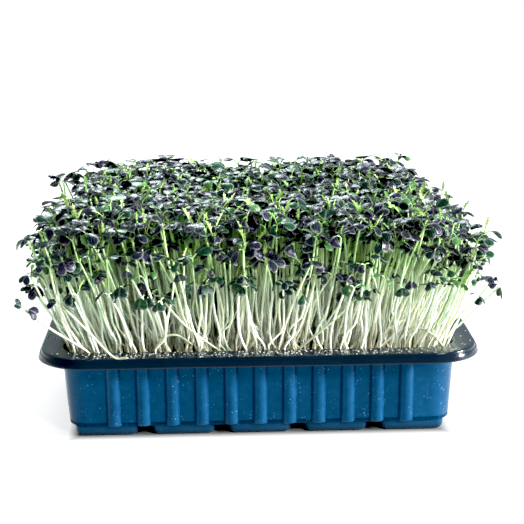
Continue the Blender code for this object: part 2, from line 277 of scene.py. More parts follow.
def sample_noise(points, scale, seed):
    """Smooth noise from -1 to 1 as a sum of waves in seeded directions."""
    dice = np.random.default_rng(seed)
    total = np.zeros(len(points))
    for _ in range(10):
        direction = dice.normal(size=3)
        direction /= np.linalg.norm(direction)
        wave = 2 * math.pi / scale * dice.uniform(0.6, 1.6)
        total += np.sin(points @ (direction * wave) + dice.uniform(0, 2 * math.pi))
    return total / 3.2


def unit(vectors):
    """Each vector scaled to length one."""
    return vectors / np.maximum(np.linalg.norm(vectors, axis=-1, keepdims=True), 1e-12)


def hang(name, data):
    """An object with this data, in the scene."""
    thing = bpy.data.objects.new(name, data)
    bpy.context.scene.collection.objects.link(thing)
    return thing


def mesh_piece(name, points, quads, materials, slots=None, tints=None, sharp=55):
    """A smooth-shaded mesh of quads. Edges that turn by more than this many degrees stay sharp."""
    mesh = bpy.data.meshes.new(name)
    mesh.vertices.add(len(points))
    mesh.vertices.foreach_set("co", np.ascontiguousarray(points, np.float32).ravel())
    mesh.loops.add(quads.size)
    mesh.loops.foreach_set("vertex_index", np.ascontiguousarray(quads, np.int32).ravel())
    mesh.polygons.add(len(quads))
    mesh.polygons.foreach_set("loop_start", np.arange(0, quads.size, 4, dtype=np.int32))
    for material in materials:
        mesh.materials.append(material)
    if slots is not None:
        mesh.polygons.foreach_set("material_index", slots.astype(np.int32))
    mesh.update(calc_edges=True)
    mesh.shade_smooth()
    mesh.set_sharp_from_angle(angle=math.radians(sharp))
    if tints is not None:
        layer = mesh.color_attributes.new("tint", "FLOAT_COLOR", "POINT")
        layer.data.foreach_set("color", np.ascontiguousarray(tints, np.float32).ravel())
    return hang(name, mesh)


def place(piece, slot, *nodes):
    """Rides the piece on the body, in place of these CAD nodes."""
    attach(piece, BODY)
    if nodes:
        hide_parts(*nodes)


def joined(blocks):
    """Pairs of points and quads as one pair."""
    starts = np.cumsum([0] + [len(points) for points, _ in blocks])
    quads = [quads + start for (_, quads), start in zip(blocks, starts)]
    return np.concatenate([points for points, _ in blocks]), np.concatenate(quads)


def ring_quads(rings, around):
    """Quads between rings of equally many points, outward where each ring runs anticlockwise."""
    index = np.arange(around)
    low = np.arange(rings - 1)[:, None] * around + index
    low_after = low - index + (index + 1) % around
    return np.stack([low, low_after, low_after + around, low + around], axis=-1).reshape(-1, 4)


def tubes(routes, radii, reference):
    """Closed four-sided tubes along routes of shape (tubes, rings, 3), with radii of shape (tubes, rings)."""
    count, rings, _ = routes.shape
    along = unit(np.gradient(routes, axis=1))
    first = unit(np.cross(along, reference))
    second = np.cross(along, first)
    angles = 2 * math.pi * np.arange(STEM_SIDES)[:, None] / STEM_SIDES
    circle = first[:, :, None] * np.cos(angles) + second[:, :, None] * np.sin(angles)
    points = routes[:, :, None] + circle * radii[:, :, None, None]
    last = (rings - 1) * STEM_SIDES
    ends = np.array([[3, 2, 1, 0], [last, last + 1, last + 2, last + 3]])
    quads = np.concatenate([ring_quads(rings, STEM_SIDES), ends])
    return points.reshape(count, -1, 3), quads


def blade_template(steps, across):
    """Quads of a closed blade: an upper and a lower grid that share their border."""
    upper = np.arange((steps + 1) * (across + 1)).reshape(steps + 1, across + 1)
    lower = upper.copy()
    lower[1:-1, 1:-1] = upper.size + np.arange((steps - 1) * (across - 1)).reshape(steps - 1, across - 1)
    quads = []
    for grid, order in ((upper, 1), (lower, -1)):
        corners = (grid[:-1, :-1], grid[1:, :-1], grid[1:, 1:], grid[:-1, 1:])
        quads.append(np.stack(corners[::order], axis=-1).reshape(-1, 4))
    return np.concatenate(quads)


def blade_points(middle):
    """Upper and lower points of blades whose middle surfaces have shape (blades, steps, across, 3)."""
    normal = unit(np.cross(np.gradient(middle, axis=1), np.gradient(middle, axis=2)))
    half = np.zeros(middle.shape[1:3])
    half[1:-1, 1:-1] = BLADE_THICKNESS / 2
    lift = normal * half[..., None]
    upper = (middle + lift).reshape(len(middle), -1, 3)
    lower = (middle - lift)[:, 1:-1, 1:-1].reshape(len(middle), -1, 3)
    return np.concatenate([upper, lower], axis=1)


# Materials. Tones are pairs of a place on a ramp and a linear colour

WHITE = (1.0, 1.0, 1.0)
PLASTIC_TONES = ((0.3, (0.0046, 0.039, 0.098)), (0.7, (0.006, 0.057, 0.14)))
PLASTIC_MOTTLE = ((0.35, (0.82, 0.84, 0.86)), (0.68, (1.22, 1.18, 1.14)))
PLASTIC_GLOSS = (0.17, 0.57, 1.0)
# Painted shade that darkens the lip and flange
RIM_PAINTED_SHADE = (0.0075, 0.0115, 0.018)
# Painted shade that darkens the feet
FOOT_PAINTED_SHADE = (0.016, 0.03, 0.052)
DUST_TONE = (0.2, 0.4, 0.55)
SCRATCH_TONE = (0.06, 0.16, 0.26)
PEAT_TONES = ((0.3, (0.02, 0.014, 0.008)), (0.5, (0.085, 0.06, 0.03)), (0.72, (0.3, 0.23, 0.12)))
STEM_TONES = (
    (0.0, (0.9, 0.87, 0.74)),
    (0.15, (0.95, 0.96, 0.86)),
    (0.45, (0.84, 0.94, 0.76)),
    (0.75, (0.52, 0.76, 0.35)),
    (1.0, (0.36, 0.62, 0.22)),
)
STEM_HUES = ((0.0, (0.56, 0.6, 0.5)), (0.05, (0.76, 0.86, 0.82)), (0.5, WHITE), (1.0, (1.0, 0.96, 0.86)))
STEM_STREAKS = ((0.3, (0.93, 0.94, 0.9)), (0.7, WHITE))
LEAF_MOTTLE = ((0.3, (0.62, 0.6, 0.66)), (0.7, (1.3, 1.35, 1.25)))
SEED_LEAF_TONES = (
    (0.0, (0.004, 0.004, 0.012)),
    (0.25, (0.014, 0.012, 0.038)),
    (0.45, (0.004, 0.011, 0.016)),
    (0.66, (0.004, 0.028, 0.018)),
    (0.86, (0.01, 0.062, 0.026)),
    (1.0, (0.06, 0.18, 0.04)),
)
# Light colour of the seed leaf's rib and veins, also painted along its border as a highlight
SEED_LEAF_VEIN_AND_HIGHLIGHT = (0.42, 0.44, 0.42)
SPRIG_TONES = (
    (0.0, (0.03, 0.1, 0.034)),
    (0.25, (0.12, 0.29, 0.06)),
    (0.6, (0.32, 0.56, 0.13)),
    (1.0, (0.58, 0.8, 0.27)),
)
# Light colour of the young leaf's rib and veins, also painted along its border as a highlight
SPRIG_VEIN_AND_HIGHLIGHT = (0.62, 0.76, 0.38)
# Whitish colour of the water drops, a painted glint
DROP_PAINTED_GLINT_TONES = ((0.3, (0.8, 0.86, 0.88)), (0.7, WHITE))
HULL_TONES = ((0.3, (0.05, 0.016, 0.01)), (0.7, (0.26, 0.11, 0.06)))
FLOOR_TONES = ((0.3, (0.25, 0.25, 0.25)), (0.7, (0.28, 0.28, 0.28)))


class Nodes:
    """A node tree, with a short method for each kind of node that is used here."""

    def __init__(self, tree):
        self.tree = tree

    def feed(self, value, socket):
        """Links a socket to another, or sets its number, vector or colour."""
        if isinstance(value, bpy.types.NodeSocket):
            self.tree.links.new(value, socket)
        elif socket.type == "RGBA":
            socket.default_value = (*value, 1.0)
        else:
            socket.default_value = value

    def feed_all(self, node, inputs):
        """Feeds a node's inputs by name. An underscore stands for a space."""
        for name, value in inputs.items():
            self.feed(value, node.inputs[name.replace("_", " ")])
        return node

    def add(self, kind, **inputs):
        return self.feed_all(self.tree.nodes.new("ShaderNode" + kind), inputs)

    def position(self, stretch=(1, 1, 1)):
        """Places on the piece in metres, stretched along its axes."""
        spot = self.add("TexCoord").outputs["Object"]
        return self.add("Mapping", Scale=stretch, Vector=spot).outputs["Vector"]

    def noise(self, scale, detail=4.0, roughness=0.6, vector=None):
        at = vector or self.position()
        return self.add("TexNoise", Scale=scale, Detail=detail, Roughness=roughness, Vector=at).outputs["Fac"]

    def ramp(self, factor, tones):
        """A colour ramp through these tones."""
        node = self.add("ValToRGB", Fac=factor)
        elements = node.color_ramp.elements
        while len(elements) < len(tones):
            elements.new(0.5)
        for element, (spot, colour) in zip(elements, tones):
            element.position = spot
            element.color = (*colour, 1.0)
        return node.outputs["Color"]

    def mix(self, factor, first, second, mode="MIX"):
        """Two colours mixed. Each may be a socket or three numbers."""
        node = self.add("Mix")
        node.data_type = "RGBA"
        node.blend_type = mode
        for value, index in ((factor, 0), (first, 6), (second, 7)):
            self.feed(value, node.inputs[index])
        return node.outputs[2]

    def math(self, operation, first, second=0.0):
        node = self.add("Math")
        node.operation = operation
        self.feed(first, node.inputs[0])
        self.feed(second, node.inputs[1])
        return node.outputs[0]

    def scaled(self, value, low, high, to_low, to_high):
        """A value remapped from one range to another, and held inside it."""
        node = self.add("MapRange", Value=value, From_Min=low, From_Max=high, To_Min=to_low, To_Max=to_high)
        return node.outputs["Result"]

    def bump(self, height, distance, strength):
        return self.add("Bump", Height=height, Distance=distance, Strength=strength).outputs["Normal"]

    def xyz(self, vector):
        return self.add("SeparateXYZ", Vector=vector).outputs

    def tint(self):
        """The three numbers stored at each point of a sprout: chance, share along and share across."""
        node = self.add("Attribute")
        node.attribute_name = "tint"
        return self.add("SeparateColor", Color=node.outputs["Color"]).outputs


class Surface(Nodes):
    """A material and its shader."""

    def __init__(self, name):
        self.material = bpy.data.materials.new(name)
        self.material.use_nodes = True
        super().__init__(self.material.node_tree)

    def finished(self, **inputs):
        """The material, once its shader's inputs have these values."""
        self.feed_all(self.tree.nodes["Principled BSDF"], inputs)
        return self.material


def plastic_material():
    """Moulded blue plastic with dust, fine scratches and uneven gloss, a glossier rim, and painted shade on
    the rim and feet.
    """
    look = Surface("moulded_blue_plastic")
    cloud = look.noise(26.0, 5.0)
    colour = look.ramp(cloud, PLASTIC_TONES)
    specks = look.add("TexVoronoi", Scale=420.0, Vector=look.position())
    dots = look.scaled(specks.outputs["Distance"], 0.07, 0.2, 1.0, 0.0)
    patches = look.scaled(look.noise(60.0, 3.0), 0.49, 0.62, 0.0, 0.85)
    colour = look.mix(look.math("MULTIPLY", dots, patches), colour, DUST_TONE)
    scratch = look.noise(1.0, 3.0, 0.7, look.position((900.0, 900.0, 30.0)))
    colour = look.mix(look.scaled(scratch, 0.66, 0.74, 0.0, 0.35), colour, SCRATCH_TONE)
    mottle = look.ramp(look.noise(190.0, 4.0, 0.7), PLASTIC_MOTTLE)
    colour = look.mix(1.0, colour, mottle, "MULTIPLY")
    height = look.xyz(look.position())["Z"]
    # Painted shade: below the body's bottom, over the feet, the colour is darkened halfway, fading out just
    # above it
    foot_shade = look.scaled(height, BODY_BOTTOM, BODY_BOTTOM + 0.0012, 0.5, 0.0)
    colour = look.mix(foot_shade, colour, FOOT_PAINTED_SHADE)
    # Painted shade: above the lip's lower edge, the lip and flange are darkened. The same mask makes them
    # glossier
    lip_low = RIM_HEIGHT - LIP_HEIGHT
    rim = look.scaled(height, lip_low - 0.0006, lip_low - 0.0001, 0.0, 1.0)
    colour = look.mix(look.math("MULTIPLY", rim, 0.92), colour, RIM_PAINTED_SHADE)
    rough = look.scaled(cloud, 0.3, 0.7, 0.21, 0.31)
    return look.finished(
        Base_Color=colour,
        Roughness=look.math("SUBTRACT", rough, look.math("MULTIPLY", rim, 0.1)),
        Specular_IOR_Level=look.scaled(rim, 0.0, 1.0, 0.62, 0.42),
        Specular_Tint=look.mix(rim, PLASTIC_GLOSS, WHITE),
        Normal=look.bump(look.noise(700.0, 3.0), 0.0001, 0.35),
    )


def medium_material():
    """Moist peat with lighter fibres."""
    look = Surface("moist_peat")
    grain = look.noise(420.0, 6.0, 0.7)
    return look.finished(
        Base_Color=look.ramp(grain, PEAT_TONES),
        Roughness=look.scaled(grain, 0.3, 0.7, 0.65, 0.95),
        Normal=look.bump(grain, 0.0008, 0.8),
    )


def stem_material():
    """Juicy stems, white at the foot and yellow-green above. The lowest chance makes a stem duller."""
    look = Surface("sprout_stem")
    chance, along, _ = look.tint()
    colour = look.mix(1.0, look.ramp(along, STEM_TONES), look.ramp(chance, STEM_HUES), "MULTIPLY")
    streak = look.noise(1.0, 3.0, 0.6, look.position((2200.0, 2200.0, 260.0)))
    return look.finished(
        Base_Color=look.mix(1.0, colour, look.ramp(streak, STEM_STREAKS), "MULTIPLY"),
        Roughness=look.scaled(streak, 0.3, 0.7, 0.36, 0.52),
        Subsurface_Weight=0.35,
        Subsurface_Radius=(1.0, 1.0, 0.6),
        Subsurface_Scale=0.0012,
    )


def leaf_material(name, tones, vein_and_highlight_colour, rib_strength, edge_highlight_strength):
    """A leaf blade: its own hue by chance, a lighter rib and side veins, a painted highlight along its rim,
    and a waxy sheen.
    """
    look = Surface(name)
    chance, along, across = look.tint()
    mottle = look.noise(520.0, 4.0)
    colour = look.mix(1.0, look.ramp(chance, tones), look.ramp(mottle, LEAF_MOTTLE), "MULTIPLY")
    slant = look.math("SUBTRACT", along, look.math("MULTIPLY", across, 0.45))
    wave = look.math("SINE", look.math("MULTIPLY", slant, 26.0))
    veins = look.scaled(wave, 0.8, 1.0, 0.0, 0.45 * rib_strength)
    rib = look.scaled(across, 0.03, 0.14, rib_strength, 0.0)
    # Painted highlight: a light band along each blade's border, in the light colour of the rib and veins
    outermost = look.math("MAXIMUM", across, look.math("ADD", along, -0.02))
    rim = look.scaled(outermost, 0.86, 0.99, 0.0, edge_highlight_strength)
    light = look.math("MAXIMUM", look.math("MAXIMUM", veins, rib), rim)
    height = look.math("ADD", look.math("MULTIPLY", light, -0.5), mottle)
    return look.finished(
        Base_Color=look.mix(light, colour, vein_and_highlight_colour),
        Roughness=look.scaled(mottle, 0.3, 0.7, 0.2, 0.36),
        Specular_IOR_Level=0.32,
        Normal=look.bump(height, 0.0004, 0.8),
    )


def droplet_material():
    look = Surface("water_drop")
    # Painted glint: the drops are near white and only partly clear, so they show as white specks
    return look.finished(
        Base_Color=look.ramp(look.noise(900.0), DROP_PAINTED_GLINT_TONES),
        Roughness=0.04,
        IOR=1.33,
        Transmission_Weight=0.55,
    )


def hull_material():
    look = Surface("seed_hull")
    tone = look.noise(800.0)
    return look.finished(
        Base_Color=look.ramp(tone, HULL_TONES),
        Roughness=look.scaled(tone, 0.3, 0.7, 0.45, 0.7),
    )


def floor_material():
    """A floor that glows softly beside the object and towards the horizon, so that it stays white."""
    look = Surface("studio_floor")
    spot = look.position()
    x, y, _ = look.xyz(spot)
    past_side = look.math("SUBTRACT", look.math("ABSOLUTE", x), BODY_WIDTH / 2 - 0.01)
    past_front = look.math("SUBTRACT", look.math("ABSOLUTE", y), BODY_DEPTH / 2 - 0.006)
    beside = look.scaled(look.math("MAXIMUM", past_side, past_front), 0.0, 0.008, 0.0, 0.8)
    away = look.add("VectorMath")
    away.operation = "LENGTH"
    look.feed(spot, away.inputs[0])
    far = look.scaled(away.outputs["Value"], 0.25, 1.1, 0.0, 0.42)
    return look.finished(
        Base_Color=look.ramp(look.noise(3.0), FLOOR_TONES),
        Roughness=0.8,
        Specular_IOR_Level=0.1,
        Emission_Color=WHITE,
        Emission_Strength=look.math("ADD", beside, far),
    )


# Tray


def side_samples(half_length, ribs):
    """Places along one straight side, dense across each rib, as distances from its middle."""
    reach = math.sqrt(RIB_RADIUS**2 - (RIB_RADIUS - RIB_HEIGHT) ** 2)
    across = -reach * np.cos(np.linspace(0, math.pi, RIB_STEPS + 1))
    stops = [-half_length]
    for index in range(ribs):
        centre = (index - (ribs - 1) / 2) * RIB_PITCH
        panel = np.linspace(stops[-1], centre - reach, PANEL_STEPS + 1)[1:-1]
        stops += list(panel) + list(centre + across)
    stops += list(np.linspace(stops[-1], half_length, PANEL_STEPS + 1)[1:])
    return np.array(stops)


def perimeter():
    """Anchor, outward direction, and distance from the nearest rib's middle, anticlockwise from above."""
    reach_x, reach_y = BODY_HALF - BODY_CORNER
    kinds = ((reach_x, reach_y, RIBS_LONG_SIDE), (reach_y, reach_x, RIBS_SHORT_SIDE)) * 2
    line = []
    for (nx, ny), (half, out, ribs) in zip(((0, -1), (1, 0), (0, 1), (-1, 0)), kinds):
        along = np.array((-ny, nx), float)
        normal = np.array((nx, ny), float)
        for distance in side_samples(half, ribs):
            nearest = min(max(round(distance / RIB_PITCH + (ribs - 1) / 2), 0), ribs - 1)
            from_rib = distance - (nearest - (ribs - 1) / 2) * RIB_PITCH
            line.append((*(normal * out + along * distance), *normal, from_rib))
        turn = math.atan2(ny, nx)
        for step in range(1, CORNER_STEPS):
            angle = turn + math.pi / 2 * step / CORNER_STEPS
            line.append((*(normal * out + along * half), math.cos(angle), math.sin(angle), 1.0))
    line = np.array(line)
    return line[:, :2], line[:, 2:4], line[:, 4]


def wall_offset(z):
    """How far the wall's outer face is outside the body's top outline at this height."""
    return -TAPER * (RIM_HEIGHT - z)


def rib_lift(from_rib, z, radius, low, high):
    """How far a rib of this radius stands out of the wall."""
    inside = np.maximum(radius**2 - from_rib**2, 0)
    lift = np.maximum(np.sqrt(inside) - (RIB_RADIUS - RIB_HEIGHT), 0)
    for past_end in (z - low, high - z):
        share = min(max(past_end / RIB_END, 0.0), 1.0)
        lift = lift * math.sqrt(1 - (1 - share) ** 2)
    return lift


def arc(centre, radius, start, end, steps):
    """(offset, z) points on an arc, in degrees."""
    angles = np.radians(np.linspace(start, end, steps + 1))
    return [(centre[0] + radius * math.cos(a), centre[1] + radius * math.sin(a)) for a in angles]


def outer_profile():
    """(offset, z) from the bottom's middle up the outside and over the rim."""
    low = BODY_BOTTOM
    high = RIM_HEIGHT
    turn = BOTTOM_ROUNDING
    edge = EDGE_ROUNDING
    under = high - SHEET
    lip = FLANGE_WIDTH + LIP_FLARE
    foot = wall_offset(low + turn)
    outside = [(foot + offset, low) for offset in BOTTOM_OFFSETS]
    outside += arc((foot - turn, low + turn), turn, -80, 0, EDGE_STEPS)
    rib_start = RIB_LOW + RIB_END * np.linspace(0.02, 1, 6)
    outside += [(wall_offset(z), z) for z in np.concatenate([rib_start, OUTER_HEIGHTS])]
    outside += arc((wall_offset(under) + edge, under - edge), edge, 180, 90, EDGE_STEPS)
    outside += arc((FLANGE_WIDTH - SHEET - edge, under - edge), edge, 90, 17, EDGE_STEPS)
    outside += arc((lip - SHEET / 2, high - LIP_HEIGHT + SHEET / 2), SHEET / 2, 197, 377, 6)
    outside += [(lip - back, high - down) for back, down in LIP_STEP]
    outside += arc((FLANGE_WIDTH - edge, high - edge), edge, 0, 90, EDGE_STEPS)
    return outside + [(FLANGE_WIDTH * share, high) for share in (0.66, 0.4, 0.15)]


def inner_profile():
    """(offset, z) from the rim down inside to the floor's middle."""
    floor = BODY_BOTTOM + SHEET
    edge = EDGE_ROUNDING
    turn = BOTTOM_ROUNDING
    inside = arc((wall_offset(RIM_HEIGHT) - SHEET + edge, RIM_HEIGHT - edge), edge, 90, 180, EDGE_STEPS)
    inside += [(wall_offset(z) - SHEET, z) for z in INNER_HEIGHTS]
    foot = wall_offset(floor + turn) - SHEET
    inside += arc((foot - turn, floor + turn), turn, 0, -80, EDGE_STEPS)
    return inside + [(foot + offset, floor) for offset in BOTTOM_OFFSETS[::-1]]


def ring_at(line, offset, z, lift=0.0):
    """One ring of points round the tray."""
    anchors, normals, _ = line
    points = np.full((len(anchors), 3), z)
    reach = np.broadcast_to(BODY_CORNER + offset + lift, len(anchors))
    points[:, :2] = anchors + normals * reach[:, None]
    return points


def shrunk_ring(line, offset, z):
    """A ring for the bottom, drawn towards the middle where the outline's corner can't shrink further."""
    anchors, normals, _ = line
    points = np.full((len(anchors), 3), z)
    points[:, :2] = (anchors + normals * BODY_CORNER) * ((BODY_HALF + offset) / BODY_HALF)
    return points


def make_shell(line):
    """The tray's shell as rings that run from the bottom's middle round the rim to the floor's middle."""
    rings = []
    for profile, inset, rib_top in ((outer_profile(), 0.0, 1.0), (inner_profile(), SHEET, RIB_TOP_INSIDE)):
        for offset, z in profile:
            if z <= BODY_BOTTOM + inset + 1e-6 and offset < SHRUNK_FROM:
                rings.append(shrunk_ring(line, offset, z))
                continue
            on_wall = inset or (offset < WALL_EDGE and z < RIM_HEIGHT - SHEET)
            lift = rib_lift(line[2], z, RIB_RADIUS - inset, RIB_LOW + inset, rib_top) if on_wall else 0.0
            rings.append(ring_at(line, offset, z, lift))
    return np.array(rings)


def closed(rings):
    """Points and quads of a tube of rings, with its first and last ring filled."""
    count, around, _ = rings.shape
    caps = []
    for start, flip in ((0, True), ((count - 1) * around, False)):
        for step in range(around // 2 - 1):
            corners = [start + step, start + step + 1, start + around - 2 - step, start + around - 1 - step]
            caps.append(corners[::-1] if flip else corners)
    return rings.reshape(-1, 3), np.concatenate([ring_quads(count, around), np.array(caps)])


def foot_rings():
    """The rings of one foot, from the ground up into the bottom plate. Its ends rise to meet the walls."""
    profile = [*FOOT_TOP, (0.0, FOOT_ROUNDING)]
    profile += arc((-FOOT_ROUNDING, FOOT_ROUNDING), FOOT_ROUNDING, 0, -90, 6)[1:]
    profile += [(-0.012, 0.0)]
    angles = np.radians(np.arange(0, 360, 10) + 5)
    circle = np.column_stack([np.cos(angles), np.sin(angles)])
    half = np.array((FOOT_WIDTH, FOOT_DEPTH)) / 2
    rings = []
    for offset, z in profile[::-1]:
        corner = max(FOOT_CORNER + offset, 0.0004)
        ring = np.sign(circle) * (half + offset - corner) + corner * circle
        end = np.abs(ring[:, 1]) > FOOT_DEPTH / 2 - FOOT_END
        rings.append(np.column_stack([ring, np.where(end, z, min(z, BODY_BOTTOM + SHEET / 2))]))
    return np.array(rings)


def make_tray():
    points, quads = closed(make_shell(perimeter()))
    high = points[:, 2] > RIM_HEIGHT - LIP_HEIGHT - 0.001
    outer = high & (np.abs(points[:, :2]) > BODY_HALF).any(axis=1)
    points[outer, 2] += LIP_WAVE * sample_noise(points[outer], 0.06, 5)
    blocks = [(points, quads)]
    foot, foot_quads = closed(foot_rings())
    for index in range(FOOT_COUNT):
        middle = (index - (FOOT_COUNT - 1) / 2) * FOOT_PITCH
        blocks.append((foot + (middle, 0, 0), foot_quads))
    place(mesh_piece("tray_shell", *joined(blocks), [plastic_material()], sharp=40), "blue_plastic", "tray")


# Growing medium


def make_medium():
    """A crumbly slab that fills the tray: rings up its side, then ever smaller rings over its top."""
    line = perimeter()
    inset = SHEET + GAP
    rings = [shrunk_ring(line, BOTTOM_OFFSETS[0], MEDIUM_LOW)]
    rings.append(ring_at(line, wall_offset(MEDIUM_LOW) - inset - 0.002, MEDIUM_LOW))
    for z in np.linspace(MEDIUM_LOW + 0.002, MEDIUM_TOP - 0.003, 6):
        rings.append(ring_at(line, wall_offset(z) - inset, z))
    edge = ring_at(line, wall_offset(MEDIUM_TOP) - inset - 0.001, MEDIUM_TOP - 0.001)
    for step in range(MEDIUM_RINGS):
        share = 1 - step / MEDIUM_RINGS
        rings.append(edge * (share, share, 1))
    points, quads = closed(np.array(rings))
    top = points[:, 2] > MEDIUM_TOP - 0.0035
    crumbs = sample_noise(points[top], CRUMB_SIZE, 3) + 0.6 * sample_noise(points[top], CRUMB_SIZE * 3, 4)
    points[top, 2] += CRUMB_HEIGHT * crumbs
    piece = mesh_piece("medium_crumbs", points, quads, [medium_material()], sharp=180)
    place(piece, "moist_medium", "growing_medium")


# Sprouts


def sprout_feet(dice):
    """Jittered places in a staggered grid on the medium."""
    rows = int(2 * FEET_Y / ROW_SPACING) + 1
    columns = int(2 * FEET_X / SPROUT_SPACING) + 1
    row, column = np.divmod(np.arange(rows * columns), columns)
    x = (column + 0.5 * (row % 2)) * SPROUT_SPACING - FEET_X
    y = (row / (rows - 1) - 0.5) * 2 * FEET_Y
    feet = np.column_stack([np.minimum(x, FEET_X), y])
    return feet + dice.uniform(-FOOT_JITTER, FOOT_JITTER, feet.shape)


def stand_heights(dice, across, deep):
    """Heights of the stems: a crown that rises to the back and falls at the corners, with a ragged fringe."""
    count = len(across)
    edge = np.maximum(np.abs(across), np.abs(deep))
    height = dice.normal(STAND_HEIGHT, STAND_UNEVEN, count)
    low = dice.random(count) < LOW_SHARE
    height[low] = dice.uniform(*LOW_HEIGHTS, low.sum())
    height += BACK_RISE * np.clip(deep, 0, 1) ** 2
    fringe = (edge > FRINGE_EDGE) & (deep < FRINGE_DEEP)
    height[fringe] = dice.uniform(*FRINGE_HEIGHTS, fringe.sum())
    side = np.clip((np.abs(across) - CORNER_START) / (1 - CORNER_START), 0, 1)
    drop = np.where(across > 0, CORNER_DROP_RIGHT, CORNER_DROP_LEFT)
    height -= drop * side**1.5 * (1 + 0.6 * deep) * (height > CORNER_DROP_ABOVE)
    return np.clip(height, STAND_LOWEST, STAND_HIGHEST)


def draw_stand(dice):
    """Feet and tops of all sprouts, and which of them carry the tall sprigs."""
    feet = sprout_feet(dice)
    count = len(feet)
    across, deep = (feet / (FEET_X, FEET_Y)).T
    spread = feet * STEM_SPREAD
    top = np.zeros((count, 3))
    wander = np.where(deep < FRONT_DEEP, FRONT_WANDER, STEM_WANDER)
    top[:, 0] = spread[:, 0] + dice.normal(0, 1, count) * wander
    top[:, 1] = spread[:, 1] + dice.normal(0, STEM_WANDER, count)
    top[:, :2] = np.clip(top[:, :2], np.negative(TOP_HALF), TOP_HALF)
    top[:, 2] = stand_heights(dice, across, deep)
    stray = (np.abs(across) > STRAY_EDGE) & (deep < STRAY_DEEP) & (dice.random(count) < STRAY_SHARE)
    top[stray, 0] += np.sign(across[stray]) * dice.uniform(*STRAY_REACH, stray.sum())
    top[stray, 2] = dice.uniform(*STRAY_HEIGHTS, stray.sum())
    tall = []
    for spot in TALL_SPRIGS:
        nearest = int(np.argmin(np.hypot(*(spread - spot[:2]).T)))
        top[nearest] = spot
        tall.append(nearest)
    foot = np.full((count, 3), MEDIUM_TOP)
    foot[:, :2] = feet
    return foot, top, np.array(tall)


def kept_in_tray(points):
    """Points below the rim drawn back inside the tray's walls."""
    room = BODY_CORNER - SHEET - STEM_RADIUS_LOW - STEM_TO_WALL
    beyond = np.maximum(np.abs(points[..., :2]) - (BODY_HALF - BODY_CORNER), 0)
    far = np.linalg.norm(beyond, axis=-1)
    pull = np.maximum(far - room, 0) * (points[..., 2] < RIM_HEIGHT + STEM_RADIUS_LOW)
    step = beyond / np.maximum(far, 1e-9)[..., None] * pull[..., None]
    kept = points.copy()
    kept[..., :2] -= np.sign(points[..., :2]) * step
    return kept


def level(pushes):
    """Level vectors of shape (count, 1, 3)."""
    return np.pad(pushes, ((0, 0), (0, 1)))[:, None]


def stem_routes(dice, foot, top):
    """Stems that kink near the medium, bow on their way and lean out."""
    flat = (len(foot), 2)
    share = np.linspace(0, 1, STEM_RINGS)[:, None] ** 1.5
    route = foot[:, None] + (top - foot)[:, None] * share
    route += level(dice.normal(0, BOW, flat)) * np.sin(math.pi * share)
    reach = np.where(dice.random(len(foot)) < STRONG_KINK_SHARE, STRONG_KINK, KINK)
    kink = np.clip(dice.normal(0, 1, flat), -KINK_LIMIT, KINK_LIMIT) * reach[:, None] * (1.0, KINK_FLATNESS)
    at_side = np.abs(foot[:, 0]) > FEET_X - SIDE_ZONE
    inward = -np.sign(foot[:, 0]) * np.minimum(np.abs(kink[:, 0]), KINK)
    kink[:, 0] = np.where(at_side, inward, kink[:, 0])
    route += level(kink) * np.sin(math.pi * np.clip(share / KINK_END, 0, 1)) ** 2
    route += level(dice.normal(0, SWAY, flat)) * np.sin(2 * math.pi * share)
    route = kept_in_tray(route)
    root = route[:, :1] - (route[:, 1:2] - route[:, :1]) * 0.4
    root[:, 0, 2] = foot[:, 2] - ROOT_DEPTH
    return np.concatenate([root, route], axis=1)


def fallen_routes():
    """The sprouts that lie over the rim, as smooth curves through their points."""
    knots = np.array(FALLEN)
    before = 2 * knots[:, :1] - knots[:, 1:2]
    after = 2 * knots[:, -1:] - knots[:, -2:-1]
    knots = np.concatenate([before, knots, after], axis=1)
    spans = knots.shape[1] - 3
    routes = []
    for at in np.linspace(0, spans, FALLEN_RINGS):
        span = min(int(at), spans - 1)
        t = at - span
        a, b, c, d = (knots[:, span + step] for step in range(4))
        square = 2 * a - 5 * b + 4 * c - d
        cube = 3 * b - a - 3 * c + d
        routes.append(0.5 * (2 * b + (c - a) * t + square * t**2 + cube * t**3))
    return np.stack(routes, axis=1)


def leaf_frames(heading, tilt):
    """Outward, sideways and upward directions at each stem's top."""
    up = unit(np.column_stack([tilt, np.ones(len(tilt))]))
    out = np.column_stack([np.cos(heading), np.sin(heading), np.zeros(len(tilt))])
    out = unit(out - up * np.sum(out * up, axis=1, keepdims=True))
    return out, np.cross(up, out), up


def petiole_routes(base, axes, length, start, end):
    """Short curved stalks from the stem's top to each blade."""
    out, _, up = axes
    half = length[:, None] * 0.5
    start, end = start[:, None], end[:, None]
    middle = base + (out * np.cos(start) + up * np.sin(start)) * half
    tip = middle + (out * np.cos(end) + up * np.sin(end)) * half
    share = np.linspace(0, 1, PETIOLE_RINGS)[:, None]
    near = base[:, None] * (1 - share) ** 2 + 2 * middle[:, None] * share * (1 - share)
    return near + tip[:, None] * share**2


